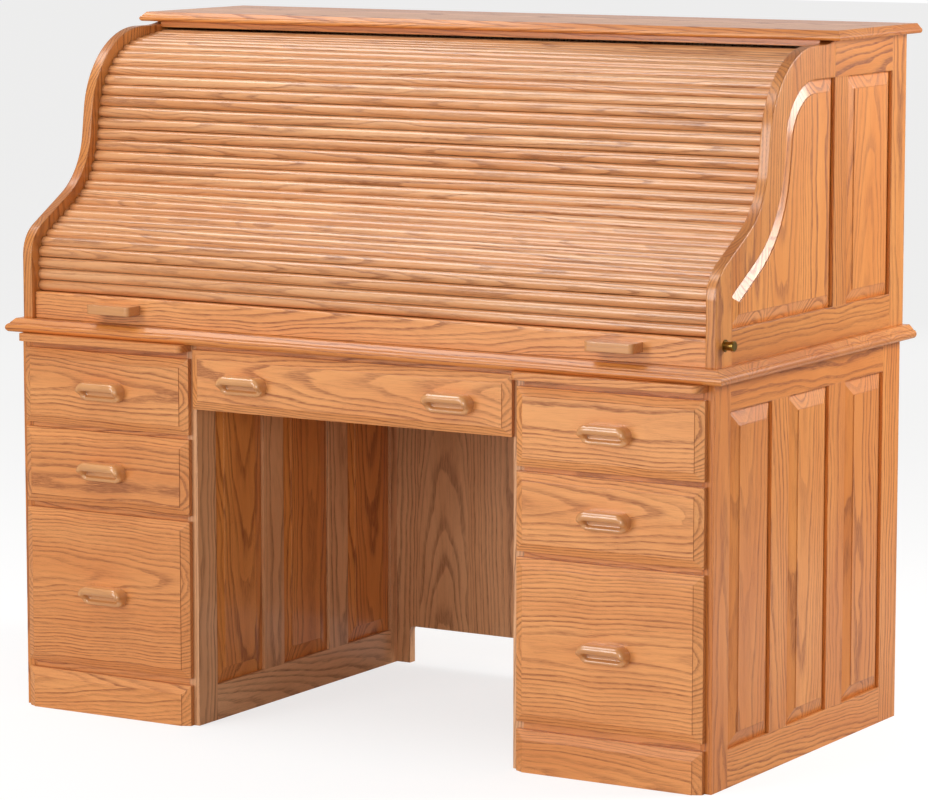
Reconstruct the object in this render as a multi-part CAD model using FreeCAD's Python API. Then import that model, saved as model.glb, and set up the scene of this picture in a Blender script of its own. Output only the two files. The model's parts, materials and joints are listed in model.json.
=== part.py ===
"""Roll-top desk in oak: two pedestals of drawers, a kneehole, and an S-curved hutch closed by a tambour.

Millimetres, +Z up, +X to the right of someone sitting at the desk, +Y from the front to the back. While it is
built, y is 0 at the front edges of the pedestal sides and z is 0 at the floor; save() then moves every piece so
that the origin is under the middle of the whole desk.
"""

import FreeCAD, Part
import math
import os

Vector = FreeCAD.Vector

# ---------------------------------------------------------------- driving dimensions: base
DESK_W = 1524.0  # desktop, side to side
SIDE_OVERHANG = 25.0  # desktop past the base, each side
FRONT_OVERHANG = 24.0
REAR_OVERHANG = 20.0
DESK_TOP_Z = 744.0  # working height
DESK_T = 25.0
BASE_D = 748.0  # pedestal sides, front to back
BACK_INSET = 29.0  # back panel in from the rear edges of the sides
PEDESTAL_W = 398.0
SIDE_T = 22.0  # framed sides of the pedestals
BACK_T = 19.0

# framed sides: stiles, mullions and rails round raised panels
FRONT_STILE_W = 60.0
REAR_STILE_W = 72.0
INNER_REAR_STILE_W = 24.0
MULLION_W = 68.0
BOTTOM_RAIL_H = 68.0
TOP_RAIL_H = 54.0
SIDE_PANELS = 3
TONGUE = 8.0  # how far a panel's edge goes into its groove
TONGUE_T = 6.0
GROOVE_GAP = 0.3
PANEL_T = 18.0  # raised field a little proud of the frame on the outer sides
KNEE_PANEL_T = 13.0  # and level with the frame in the kneehole
PANEL_BACK = 9.0  # panel's back behind the frame's inner face
PANEL_BORDER = 28.0
FIELD_STEP = 1.5

# fronts: plinth, drawers and the pull-out writing boards
FRONT_T = 19.0
FRONT_GAP = 0.5  # closed fronts clear the case by this much
FRONT_EDGE_T = 10.0
FRONT_BORDER = 16.0
FRONT_OVERLAP_INNER = 10.0  # fronts lap over the edges of the pedestal sides
FRONT_OVERLAP_OUTER = 9.0
PLINTH_H = 76.0
DRAWER_Z = {"bottom": (90.0, 386.0), "middle": (397.0, 540.0), "top": (549.0, 691.0)}
BOX_H = {"bottom": 240.0, "middle": 110.0, "top": 110.0}
PULL_Z = {"bottom": 231.0, "middle": 467.0, "top": 619.0}
CENTRE_Z = (599.0, 710.0)
CENTRE_LAP = 2.0  # centre drawer front over each pedestal side
CENTRE_BOX_H = 80.0
CENTRE_PULL_X = 220.0
CENTRE_PULL_Z = 652.0

# drawer boxes and what they run on
BOX_BACK_ROOM = 100.0  # between a drawer box and the back panel
BOX_T = 12.0
BOX_BOTTOM_T = 6.0
BOX_BOTTOM_UP = 8.0
BOX_SIDE_GAP = 1.0
BOX_REVEAL = 13.0  # box above the lower edge of its front
RUNNER_W = 12.0
RUNNER_H = 14.0
SLIDE_GAP = 0.3
RAIL_D = 19.0  # rails between the drawers, front to back
RAIL_OVERLAP = 9.0  # each drawer front over the rail beside it
BOTTOM_BOARD_T = 12.0

# pull-out writing boards above the top drawers
WRITING_T = 13.6
WRITING_BACK_ROOM = 160.0
WRITING_LIP_D = 37.5
WRITING_LIP_R = 12.0
WRITING_CLEAR = 0.4

# wooden pulls
PULL_L = 98.0
PULL_H = 36.0
PULL_D = 29.0
PULL_CHEEK = 14.0  # solid wood at each end of the finger slot
PULL_SLOT_H = 10.0
PULL_BACK_T = 7.0
PULL_LIP_D = 13.0
PULL_BAR_H = 17.0

# kneehole notch in the back panel
NOTCH_SIDE = 30.0
NOTCH_H = 75.0
NOTCH_R = 10.0

# ---------------------------------------------------------------- driving dimensions: hutch
HUTCH_TOP_Z = 1287.0  # underside of the top board
TOP_T = 18.0
TOP_FRONT_Y = 424.0
TOP_REAR_OVERHANG = 14.0  # top board past the hutch sides
HUTCH_D = 759.0
HUTCH_T = 20.0
HUTCH_STILE_W = 60.0  # S-shaped stile
HUTCH_FOOT_RAIL_H = 63.0
HUTCH_MULLION_Y = (458.0, 512.0)
HUTCH_REAR_STILE_W = 60.0
HUTCH_PANEL_BACK = 6.0
HUTCH_PANEL_T = 16.0
HUTCH_PANEL_BORDER = 24.0
HUTCH_BACK_T = 6.0
HUTCH_BACK_INSET = 2.0
VALANCE_T = 12.0
VALANCE_H = 11.0
VALANCE_SETBACK = 10.0

# S curve of the hutch sides, in the y-z plane: toe, waist and crown arcs joined by tangent lines
S_FRONT_Y = 3.0
TOE_Z = 863.0
TOE_R = 65.0
WAIST_R = 145.0
CROWN_R = 175.0
CROWN_Y = 376.0
CROWN_DROP = 6.6  # highest point of the S under the top board, made up by a cove behind it
COVE_Y = 410.0
LEAN = math.radians(30.0)
STEEP = math.radians(82.5)

# edge mouldings: width and height of the slope, place and height of the quirk, foot of the nose in from its tip
DESK_MOULD = (15.0, 8.0, 7.0, 1.5, 5.0)
TOP_MOULD = (10.5, 7.0, 4.0, 1.0, 5.0)

# ---------------------------------------------------------------- driving dimensions: tambour
TAMBOUR_INSET = 29.0  # back of the slats, in from the edge of the S
TAMBOUR_RISE = math.radians(8.0)  # the slats still climb at this angle where they pass under the valance
TAMBOUR_END_GAP = 0.5
BAR_H = 50.0
BAR_T = 25.0
BAR_STRIP_T = 7.0  # strip glued along the foot of its back
BAR_INSET = 10.0  # front of the lift bar, in from the edge of the S
BAR_FOOT_GAP = 0.5
BAR_TOP_R = 5.0
SLAT_PITCH = 21.4
SLAT_GAP = 0.8
SLAT_BASE_T = 1.5
SLAT_T = 9.0
SLATS_PER_GROUP = 3
GROUPS = 11
HANDLE_X = (-523.0, 541.0)
HANDLE_L = 97.0
HANDLE_H = 17.0
HANDLE_D = 39.0
HANDLE_R = 8.0  # front corners, seen from above
HANDLE_UP = 28.0  # middle of the handle above the foot of the bar

# brass push lock in the right side, bolting the lift bar
LOCK_UP = 38.0  # axis above the desktop
LOCK_IN = 2.0  # axis in from the back of the lift bar
LOCK_SLEEVE_R = 9.2
LOCK_FLANGE_R = 10.5
LOCK_FLANGE_T = 2.0
LOCK_ROD_R = 8.0
LOCK_HEAD_R = 9.2
LOCK_HEAD_T = 6.0
LOCK_HEAD_EDGE = 1.5
LOCK_NOSE_R = 3.5  # the bolt is turned down where it enters the bar
LOCK_REST = 2.5  # from the nose down to the strip that it holds
LOCK_TRAVEL = 12.0
LOCK_GAP = 0.1
LOCK_SETBACK = 1.0  # end of the bolt inside the wall when drawn out

# ---------------------------------------------------------------- driving dimensions: organizer
ORG_BACK_ROOM = 61.0  # behind the organizer, where the open tambour hangs
ORG_D = 215.0
ORG_H = 290.0
ORG_T = 10.0
ORG_BACK_T = 6.0
ORG_BACK_UP = 8.0  # back board above the organizer's top
ORG_BAYS = 6
ORG_THIN_T = 5.0
ORG_DRAWER_H = 84.0
ORG_DRAWER_T = 8.0
ORG_DRAWER_GAP = 0.8
ORG_KNOB_R = 8.0
ORG_KNOB_D = 16.0
ORG_KNOB_HEAD = 10.0
ORG_KNOB_EDGE = 3.0
ORG_SHELF_UP = 120.0  # shelf in the bays beside the outer ones, above the bottom board

# ---------------------------------------------------------------- derived places
BASE_X = DESK_W / 2 - SIDE_OVERHANG  # outer face of the pedestals and the hutch
OUTER_IN_X = BASE_X - SIDE_T
KNEE_X = BASE_X - PEDESTAL_W  # kneehole face of the pedestals
INNER_OUT_X = KNEE_X + SIDE_T
BASE_H = DESK_TOP_Z - DESK_T
BACK_Y = BASE_D - BACK_INSET - BACK_T  # front face of the back panel
BOX_DEPTH = BACK_Y - BOX_BACK_ROOM
WRITING_DEPTH = BACK_Y - WRITING_BACK_ROOM
TOP_REAR_Y = HUTCH_D + TOP_REAR_OVERHANG
FRONT_X = (INNER_OUT_X - FRONT_OVERLAP_INNER, OUTER_IN_X + FRONT_OVERLAP_OUTER)
FRONT_MID_X = (FRONT_X[0] + FRONT_X[1]) / 2
FRONT_FACE_Y = -FRONT_GAP - FRONT_T
HUTCH_IN_X = BASE_X - HUTCH_T
SLAT_X = HUTCH_IN_X - TAMBOUR_END_GAP
BAR_Y = S_FRONT_Y + BAR_INSET + BAR_T  # back of the lift bar
FRONTMOST_Y = FRONT_FACE_Y - PULL_D
Y_MID = (FRONTMOST_Y + TOP_REAR_Y) / 2
DESK_REAR_Y = BASE_D + REAR_OVERHANG
WRITING_Z = BASE_H - WRITING_CLEAR - WRITING_T
LOCK_Y = BAR_Y - LOCK_IN
LOCK_Z = DESK_TOP_Z + LOCK_UP
CROWN_TOP_Z = HUTCH_TOP_Z - CROWN_DROP
HUTCH_OPENING_Z = (DESK_TOP_Z + HUTCH_FOOT_RAIL_H, CROWN_TOP_Z - HUTCH_STILE_W)
HUTCH_REAR_STILE_Y = HUTCH_D - HUTCH_REAR_STILE_W
ORG_REAR_Y = HUTCH_D - HUTCH_BACK_INSET - HUTCH_BACK_T - ORG_BACK_ROOM
ORG_FRONT_Y = ORG_REAR_Y - ORG_D
ORG_TOP_Z = DESK_TOP_Z + ORG_H
TOUCH = 1e-6  # places closer than this are the same


# ---------------------------------------------------------------- helpers
def slab(x, y, z):
    """A board between two x, two y and two z places."""
    return Part.makeBox(x[1] - x[0], y[1] - y[0], z[1] - z[0], Vector(x[0], y[0], z[0]))


def mirrored(shape):
    return shape.mirror(Vector(0, 0, 0), Vector(1, 0, 0))


def both(shape):
    """A piece on the right and its twin on the left."""
    return [shape, mirrored(shape)]


def rod(x0, x1, y, z, radius):
    """A cylinder along X."""
    return Part.makeCylinder(radius, x1 - x0, Vector(x0, y, z), Vector(1, 0, 0))


def save(name, solids):
    """Writes one node, moved so that the origin is under the middle of the desk."""
    shape = Part.makeCompound(solids) if len(solids) > 1 else solids[0]
    shape.translate(Vector(0, -Y_MID, 0))
    shape.exportStep("parts/" + name + ".step")


def line(p, q):
    return Part.LineSegment(p, q).toShape()


def flat_face(points):
    return Part.Face(Part.makePolygon(list(points) + [points[0]]))


# ---------------------------------------------------------------- the S curve
def normal(angle):
    """Unit vector square to a path that heads at this angle, on its outer side, as (y, z)."""
    return (-math.sin(angle), math.cos(angle))


def step_from(point, radius, angle):
    side = normal(angle)
    return (point[0] + radius * side[0], point[1] + radius * side[1])


def s_path(inset, foot_z, end_y, square_toe=False, rise=0.0, cove=False):
    """The S curve moved in by inset, from the foot up and back, as lines (p, q) and arcs (centre, r, a0, a1).

    It ends level or still climbing at the angle rise, or with the cove that meets the top board.
    """
    toe = (S_FRONT_Y + TOE_R, TOE_Z)
    crown = (CROWN_Y, CROWN_TOP_Z - CROWN_R)
    low = step_from(toe, TOE_R, LEAN)
    high = step_from(crown, CROWN_R, STEEP)
    # corner where the two tangent lines would meet, then the waist arc that rounds it
    turn = math.sin(STEEP - LEAN)
    reach = ((high[0] - low[0]) * math.sin(STEEP) - (high[1] - low[1]) * math.cos(STEEP)) / turn
    back = reach - WAIST_R * math.tan((STEEP - LEAN) / 2)
    start = (low[0] + back * math.cos(LEAN), low[1] + back * math.sin(LEAN))
    waist = step_from(start, WAIST_R, LEAN)
    waist_in = step_from(waist, -WAIST_R - inset, LEAN)
    waist_out = step_from(waist, -WAIST_R - inset, STEEP)
    crown_in = step_from(crown, CROWN_R - inset, STEEP)
    front = S_FRONT_Y + inset
    path = []
    if square_toe:
        knee = (front, waist_in[1] + (front - waist_in[0]) * math.tan(LEAN))
        path.append(("line", (front, foot_z), knee))
        path.append(("line", knee, waist_in))
    else:
        path.append(("line", (front, foot_z), (front, TOE_Z)))
        path.append(("arc", toe, TOE_R - inset, math.pi / 2, LEAN))
        path.append(("line", step_from(toe, TOE_R - inset, LEAN), waist_in))
    path.append(("arc", waist, -WAIST_R - inset, LEAN, STEEP))
    path.append(("line", waist_out, crown_in))
    path.append(("arc", crown, CROWN_R - inset, STEEP, rise))
    brow = step_from(crown, CROWN_R - inset, rise)
    if cove:
        run = end_y - COVE_Y
        radius = (run**2 + CROWN_DROP**2) / (2 * CROWN_DROP)
        path.append(("line", brow, (COVE_Y, brow[1])))
        path.append(("arc", (COVE_Y, brow[1] + radius), -radius, 0.0, math.asin(run / radius)))
    else:
        path.append(("line", brow, (end_y, brow[1] + (end_y - brow[0]) * math.tan(rise))))
    return path


def path_edges(path, x):
    """Edges of a path, in the plane at x."""
    edges = []
    for piece in path:
        if piece[0] == "line":
            edges.append(line(Vector(x, *piece[1]), Vector(x, *piece[2])))
            continue
        _, centre, radius, a0, a1 = piece
        places = [step_from(centre, radius, a) for a in (a0, (a0 + a1) / 2, a1)]
        edges.append(Part.Arc(*[Vector(x, *place) for place in places]).toShape())
    return edges


def path_point(path, distance):
    """Place on a path, as (y, z), at a distance from its foot."""
    for piece in path:
        if piece[0] == "line":
            length = math.dist(piece[1], piece[2])
        else:
            length = abs(piece[2]) * abs(piece[4] - piece[3])
        if distance <= length or piece is path[-1]:
            break
        distance -= length
    share = distance / length
    if piece[0] == "line":
        return tuple(p + (q - p) * share for p, q in zip(piece[1], piece[2]))
    return step_from(piece[1], piece[2], piece[3] + (piece[4] - piece[3]) * share)


def path_ends(path):
    """First and last places of a path, as (y, z)."""
    ends = []
    for piece, which in ((path[0], 0), (path[-1], 1)):
        if piece[0] == "line":
            ends.append(piece[1 + which])
        else:
            ends.append(step_from(piece[1], piece[2], piece[3 + which]))
    return ends


def closed_s_face(inset, foot_z, end_y, x, square_toe=True):
    """Face bounded by the moved-in S, a level foot and an upright rear edge."""
    path = s_path(inset, foot_z, end_y, square_toe)
    start, end = path_ends(path)
    edges = path_edges(path, x)
    edges.append(line(Vector(x, *end), Vector(x, end_y, foot_z)))
    edges.append(line(Vector(x, end_y, foot_z), Vector(x, *start)))
    return Part.Face(Part.Wire(edges))


# ---------------------------------------------------------------- boards with bevelled borders
def raised_board(width, height, edge_t, thick, border, foot_border=True):
    """Board lying against y = 0 with its raised field towards +Y: edge, slope, small step, field."""
    low = border if foot_border else 0.0
    top = thick - FIELD_STEP
    base = Part.makeBox(width, edge_t, height)
    slope = Part.makeWedge(0, edge_t, 0, low, border, width, top, height, height - border, width - border)
    field = slab((border, width - border), (edge_t / 2, thick), (low, height - border))
    return base.fuse([slope, field]).removeSplitter()


def front_board(x, z, foot_border=True):
    """A plinth or drawer front, between two x and two z places, closed against the case."""
    board = raised_board(x[1] - x[0], z[1] - z[0], FRONT_EDGE_T, FRONT_T, FRONT_BORDER, foot_border)
    board.rotate(Vector(0, 0, 0), Vector(0, 0, 1), 180)
    board.translate(Vector(x[1], -FRONT_GAP, z[0]))
    return board


def side_panel(back_x, y, z, thick, border):
    """Raised panel facing +X with a tongue all round; back_x is the plane of its back."""
    width, height = y[1] - y[0], z[1] - z[0]
    panel = raised_board(width, height, TONGUE_T, thick, border)
    tongue = slab((-TONGUE, width + TONGUE), (0, TONGUE_T), (-TONGUE, height + TONGUE))
    panel = panel.fuse(tongue).removeSplitter()
    panel.rotate(Vector(0, 0, 0), Vector(0, 0, 1), -90)
    panel.translate(Vector(back_x, y[1], z[0]))
    return panel


def groove(back_x, y, z):
    """Room for a side panel's tongue."""
    grow = TONGUE + GROOVE_GAP
    return slab(
        (back_x - GROOVE_GAP, back_x + TONGUE_T + GROOVE_GAP), (y[0] - grow, y[1] + grow), (z[0] - grow, z[1] + grow)
    )


def framed_side(x, depth, rear_stile_w, panel_t):
    """Frame and raised panels of a pedestal side facing +X. Returns (frame boards, panels)."""
    opening_w = (depth - FRONT_STILE_W - rear_stile_w - MULLION_W * (SIDE_PANELS - 1)) / SIDE_PANELS
    openings = []
    for i in range(SIDE_PANELS):
        start = FRONT_STILE_W + i * (opening_w + MULLION_W)
        openings.append((start, start + opening_w))
    z = (BOTTOM_RAIL_H, BASE_H - TOP_RAIL_H)
    rail_y = (FRONT_STILE_W, depth - rear_stile_w)
    boards = [
        slab(x, (0, FRONT_STILE_W), (0, BASE_H)),
        slab(x, (depth - rear_stile_w, depth), (0, BASE_H)),
        slab(x, rail_y, (0, z[0])),
        slab(x, rail_y, (z[1], BASE_H)),
    ]
    for before, after in zip(openings, openings[1:]):
        boards.append(slab(x, (before[1], after[0]), z))
    back_x = x[0] + PANEL_BACK
    grooves = [groove(back_x, y, z) for y in openings]
    frame = [board.cut(grooves) for board in boards]
    panels = [side_panel(back_x, y, z, panel_t, PANEL_BORDER) for y in openings]
    return frame, panels


# ---------------------------------------------------------------- base
def moulded_edge(thick, mould, place):
    """Moulding outline from the top flat round the nose to the underside; place(out, up) gives a point."""
    slope_w, slope_h, quirk_w, quirk_h, foot = mould
    slope_foot = thick - slope_h
    quirk_foot = slope_foot - quirk_h
    nose = Part.Arc(place(-quirk_w + quirk_h, quirk_foot), place(0, quirk_foot / 2), place(-foot, 0))
    return [
        line(place(-slope_w, thick), place(-quirk_w, slope_foot)),
        line(place(-quirk_w, slope_foot), place(-quirk_w, quirk_foot)),
        line(place(-quirk_w, quirk_foot), place(-quirk_w + quirk_h, quirk_foot)),
        nose.toShape(),
    ]


def moulded_board(half_w, y, z0, thick, mould):
    """Board moulded along its front and both ends, mitred at the corners, square at the rear."""
    right = moulded_edge(thick, mould, lambda out, up: Vector(half_w + out, y[0], z0 + up))
    left = moulded_edge(thick, mould, lambda out, up: Vector(-half_w - out, y[0], z0 + up))
    slope_w, foot_w = mould[0], mould[-1]
    inner = half_w - slope_w
    foot = half_w - foot_w
    across = Part.Wire(
        Part.__sortEdges__(
            right
            + left
            + [
                line(Vector(-inner, y[0], z0 + thick), Vector(inner, y[0], z0 + thick)),
                line(Vector(-foot, y[0], z0), Vector(foot, y[0], z0)),
            ]
        )
    )
    front = moulded_edge(thick, mould, lambda out, up: Vector(-half_w, y[0] - out, z0 + up))
    along = Part.Wire(
        Part.__sortEdges__(
            front
            + [
                line(Vector(-half_w, y[0] + slope_w, z0 + thick), Vector(-half_w, y[1], z0 + thick)),
                line(Vector(-half_w, y[1], z0 + thick), Vector(-half_w, y[1], z0)),
                line(Vector(-half_w, y[1], z0), Vector(-half_w, y[0] + foot_w, z0)),
            ]
        )
    )
    lengthways = Part.Face(across).extrude(Vector(0, y[1] - y[0], 0))
    crossways = Part.Face(along).extrude(Vector(2 * half_w, 0, 0))
    return lengthways.common(crossways)


def make_desktop():
    save("desktop", [moulded_board(DESK_W / 2, (-FRONT_OVERHANG, DESK_REAR_Y), BASE_H, DESK_T, DESK_MOULD)])


def make_pedestal_sides():
    outer, outer_panels = framed_side((OUTER_IN_X, BASE_X), BASE_D, REAR_STILE_W, PANEL_T)
    # the kneehole sides face the middle, so they are built facing +X and used as the left pedestal's
    knee = (-INNER_OUT_X, -KNEE_X)
    inner, inner_panels = framed_side(knee, BACK_Y, INNER_REAR_STILE_W, KNEE_PANEL_T)
    save("outer_side_right", outer)
    save("outer_side_left", [mirrored(board) for board in outer])
    save("kneehole_side_left", inner)
    save("kneehole_side_right", [mirrored(board) for board in inner])
    panels = []
    for panel in outer_panels + inner_panels:
        panels += both(panel)
    save("base_side_panels", panels)


def make_back_panel():
    board = slab((-OUTER_IN_X, OUTER_IN_X), (BACK_Y, BACK_Y + BACK_T), (0, BASE_H))
    half = KNEE_X - NOTCH_SIDE
    depth = (BACK_Y - BACK_T, BACK_Y + 2 * BACK_T)
    notch = slab((-half, half), depth, (-NOTCH_H, NOTCH_H))
    corners = [e for e in notch.Edges if abs(e.CenterOfMass.z - NOTCH_H) < TOUCH and abs(e.CenterOfMass.x) > half / 2]
    save("back_panel", [board.cut(notch.makeFillet(NOTCH_R, corners))])


def make_plinth_and_bottoms():
    save("plinth_fronts", both(front_board(FRONT_X, (0, PLINTH_H), foot_border=False)))
    z = (PLINTH_H - BOTTOM_BOARD_T, PLINTH_H)
    save("pedestal_bottoms", both(slab((INNER_OUT_X, OUTER_IN_X), (RAIL_D, BACK_Y), z)))


def make_face_rails():
    lower, middle, upper = (DRAWER_Z[name] for name in ("bottom", "middle", "top"))
    levels = [
        (PLINTH_H - RAIL_OVERLAP, lower[0] + RAIL_OVERLAP),
        (lower[1] - RAIL_OVERLAP, middle[0] + RAIL_OVERLAP),
        (middle[1] - RAIL_OVERLAP, upper[0] + RAIL_OVERLAP),
        (upper[1] - RAIL_OVERLAP, WRITING_Z - WRITING_CLEAR),
    ]
    rails = []
    for z in levels:
        rails += both(slab((INNER_OUT_X, OUTER_IN_X), (0, RAIL_D), z))
    rails.append(slab((-KNEE_X, KNEE_X), (0, RAIL_D), (CENTRE_Z[1] - RAIL_OVERLAP, BASE_H)))
    save("face_rails", rails)


# ---------------------------------------------------------------- drawers
def drawer_box(x, z, depth=BOX_DEPTH):
    """Five boards: two sides, front and back between them, and a bottom held clear of the floor of the case."""
    inside = (x[0] + BOX_T, x[1] - BOX_T)
    y = (-FRONT_GAP, depth)
    bottom_z = z[0] + BOX_BOTTOM_UP
    return [
        slab((x[0], inside[0]), y, z),
        slab((inside[1], x[1]), y, z),
        slab(inside, (y[0], y[0] + BOX_T), z),
        slab(inside, (y[1] - BOX_T, y[1]), z),
        slab(inside, (y[0] + BOX_T, y[1] - BOX_T), (bottom_z, bottom_z + BOX_BOTTOM_T)),
    ]


def pull(x, z):
    """Wooden pull: a rounded bar above a finger slot and a lip, standing on a drawer front."""
    radius = PULL_H / 2
    half = PULL_L / 2 - radius
    y = FRONT_FACE_Y
    outline = Part.Wire(
        [
            line(Vector(x - half, y, z + radius), Vector(x + half, y, z + radius)),
            Part.Arc(
                Vector(x + half, y, z + radius), Vector(x + half + radius, y, z), Vector(x + half, y, z - radius)
            ).toShape(),
            line(Vector(x + half, y, z - radius), Vector(x - half, y, z - radius)),
            Part.Arc(
                Vector(x - half, y, z - radius), Vector(x - half - radius, y, z), Vector(x - half, y, z + radius)
            ).toShape(),
        ]
    )
    block = Part.Face(outline).extrude(Vector(0, -PULL_D, 0))
    slot_x = (x - PULL_L / 2 + PULL_CHEEK, x + PULL_L / 2 - PULL_CHEEK)
    slot_top = z + radius - PULL_BAR_H
    slot_foot = slot_top - PULL_SLOT_H
    slot = slab(slot_x, (y - 2 * PULL_D, y - PULL_BACK_T), (slot_foot, slot_top))
    lip = slab(slot_x, (y - 2 * PULL_D, y - PULL_LIP_D), (z - PULL_H, slot_foot))
    return block.cut([slot, lip])


def make_drawers():
    box_x = (INNER_OUT_X + BOX_SIDE_GAP, OUTER_IN_X - BOX_SIDE_GAP)
    for level, z in DRAWER_Z.items():
        box_z = (z[0] + BOX_REVEAL, z[0] + BOX_REVEAL + BOX_H[level])
        front = front_board(FRONT_X, z)
        boards = drawer_box(box_x, box_z)
        handle = pull(FRONT_MID_X, PULL_Z[level])
        save("drawer_front_right_" + level, [front.copy()])
        save("drawer_box_right_" + level, [board.copy() for board in boards])
        save("drawer_pull_right_" + level, [handle.copy()])
        save("drawer_front_left_" + level, [mirrored(front)])
        save("drawer_box_left_" + level, [mirrored(board) for board in boards])
        save("drawer_pull_left_" + level, [mirrored(handle)])
    half = KNEE_X + CENTRE_LAP
    save("drawer_front_centre", [front_board((-half, half), CENTRE_Z)])
    inner = KNEE_X - BOX_SIDE_GAP
    box_z = (CENTRE_Z[0] + BOX_REVEAL, CENTRE_Z[0] + BOX_REVEAL + CENTRE_BOX_H)
    save("drawer_box_centre", drawer_box((-inner, inner), box_z))
    save("drawer_pulls_centre", [pull(CENTRE_PULL_X, CENTRE_PULL_Z), pull(-CENTRE_PULL_X, CENTRE_PULL_Z)])


def runner(x, box_foot):
    """Hardwood strip on a pedestal side, just under the side of a drawer box."""
    top = box_foot - SLIDE_GAP
    return slab(x, (RAIL_D, BACK_Y), (top - RUNNER_H, top))


def make_runners():
    strips = []
    feet = [z[0] + BOX_REVEAL for z in DRAWER_Z.values()]
    for foot in feet + [WRITING_Z]:
        strips += both(runner((INNER_OUT_X, INNER_OUT_X + RUNNER_W), foot))
        strips += both(runner((OUTER_IN_X - RUNNER_W, OUTER_IN_X), foot))
    strips += both(runner((KNEE_X - RUNNER_W, KNEE_X), CENTRE_Z[0] + BOX_REVEAL))
    save("drawer_runners", strips)


def make_writing_boards():
    z = (WRITING_Z, WRITING_Z + WRITING_T)
    board = slab((INNER_OUT_X + BOX_SIDE_GAP, OUTER_IN_X - BOX_SIDE_GAP), (-FRONT_GAP, WRITING_DEPTH), z)
    lip = slab(FRONT_X, (-WRITING_LIP_D - FRONT_GAP, -FRONT_GAP), z)
    front_y = -WRITING_LIP_D - FRONT_GAP
    corners = [
        e for e in lip.Edges if abs(e.CenterOfMass.y - front_y) < TOUCH and abs(e.CenterOfMass.z - sum(z) / 2) < TOUCH
    ]
    lip = lip.makeFillet(WRITING_LIP_R, corners)
    save("writing_board_right", [board.copy(), lip.copy()])
    save("writing_board_left", [mirrored(board), mirrored(lip)])


# ---------------------------------------------------------------- hutch
def curved_panel(back_x):
    """Front raised panel of a hutch side, with its front edge parallel to the S."""
    tongue_x = back_x + TONGUE_T
    slope_x = back_x + HUTCH_PANEL_T - FIELD_STEP
    edge_y = HUTCH_MULLION_Y[0]
    low = HUTCH_OPENING_Z[0]
    tongue = closed_s_face(HUTCH_STILE_W - TONGUE, low - TONGUE, edge_y + TONGUE, back_x)
    tongue = tongue.extrude(Vector(TONGUE_T, 0, 0))
    border = HUTCH_PANEL_BORDER
    outer = closed_s_face(HUTCH_STILE_W, low, edge_y, tongue_x).OuterWire
    inner = closed_s_face(HUTCH_STILE_W + border, low + border, edge_y - border, slope_x).OuterWire
    slope = Part.makeLoft([outer, inner], True, True)
    field = closed_s_face(HUTCH_STILE_W + border, low + border, edge_y - border, tongue_x)
    field = field.extrude(Vector(HUTCH_PANEL_T - TONGUE_T, 0, 0))
    return tongue.fuse([slope, field])


def curved_groove(back_x):
    grow = TONGUE + GROOVE_GAP
    low = HUTCH_OPENING_Z[0]
    face = closed_s_face(HUTCH_STILE_W - grow, low - grow, HUTCH_MULLION_Y[0] + grow, back_x - GROOVE_GAP)
    return face.extrude(Vector(TONGUE_T + 2 * GROOVE_GAP, 0, 0))


def s_stile(x):
    """The S-shaped front member of a hutch side, from the desktop to the top board."""
    end_y = HUTCH_MULLION_Y[0]
    outer = s_path(0, DESK_TOP_Z, end_y, cove=True)
    inner = s_path(HUTCH_STILE_W, DESK_TOP_Z, end_y, square_toe=True)
    edges = path_edges(outer, x[0]) + path_edges(inner, x[0])
    for out, back in zip(path_ends(outer), path_ends(inner)):
        edges.append(line(Vector(x[0], *out), Vector(x[0], *back)))
    face = Part.Face(Part.Wire(Part.__sortEdges__(edges)))
    return face.extrude(Vector(x[1] - x[0], 0, 0))


def make_hutch_sides():
    x = (HUTCH_IN_X, BASE_X)
    low, high = HUTCH_OPENING_Z
    front_y = S_FRONT_Y + HUTCH_STILE_W
    boards = [
        s_stile(x),
        slab(x, (front_y, HUTCH_REAR_STILE_Y), (DESK_TOP_Z, low)),
        slab(x, (HUTCH_MULLION_Y[0], HUTCH_REAR_STILE_Y), (high, HUTCH_TOP_Z)),
        slab(x, HUTCH_MULLION_Y, (low, high)),
        slab(x, (HUTCH_REAR_STILE_Y, HUTCH_D), (DESK_TOP_Z, HUTCH_TOP_Z)),
    ]
    back_x = HUTCH_IN_X + HUTCH_PANEL_BACK
    rear_y = (HUTCH_MULLION_Y[1], HUTCH_REAR_STILE_Y)
    grooves = [curved_groove(back_x), groove(back_x, rear_y, (low, high))]
    frame = [board.cut(grooves) for board in boards]
    save("hutch_side_left", [mirrored(board) for board in frame])
    hole = rod(HUTCH_IN_X - HUTCH_T, BASE_X + HUTCH_T, LOCK_Y, LOCK_Z, LOCK_SLEEVE_R + LOCK_GAP)
    save("hutch_side_right", [board.cut(hole) for board in frame])
    panels = [curved_panel(back_x), side_panel(back_x, rear_y, (low, high), HUTCH_PANEL_T, HUTCH_PANEL_BORDER)]
    save("hutch_side_panels", both(panels[0]) + both(panels[1]))


def make_hutch_top():
    save("hutch_top", [moulded_board(DESK_W / 2, (TOP_FRONT_Y, TOP_REAR_Y), HUTCH_TOP_Z, TOP_T, TOP_MOULD)])
    x = (-HUTCH_IN_X, HUTCH_IN_X)
    back_y = HUTCH_D - HUTCH_BACK_INSET
    save("hutch_back", [slab(x, (back_y - HUTCH_BACK_T, back_y), (DESK_TOP_Z, HUTCH_TOP_Z))])
    valance_y = TOP_FRONT_Y + VALANCE_SETBACK
    z = (HUTCH_TOP_Z - VALANCE_H, HUTCH_TOP_Z)
    save("hutch_valance", [slab(x, (valance_y, valance_y + VALANCE_T), z)])


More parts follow.
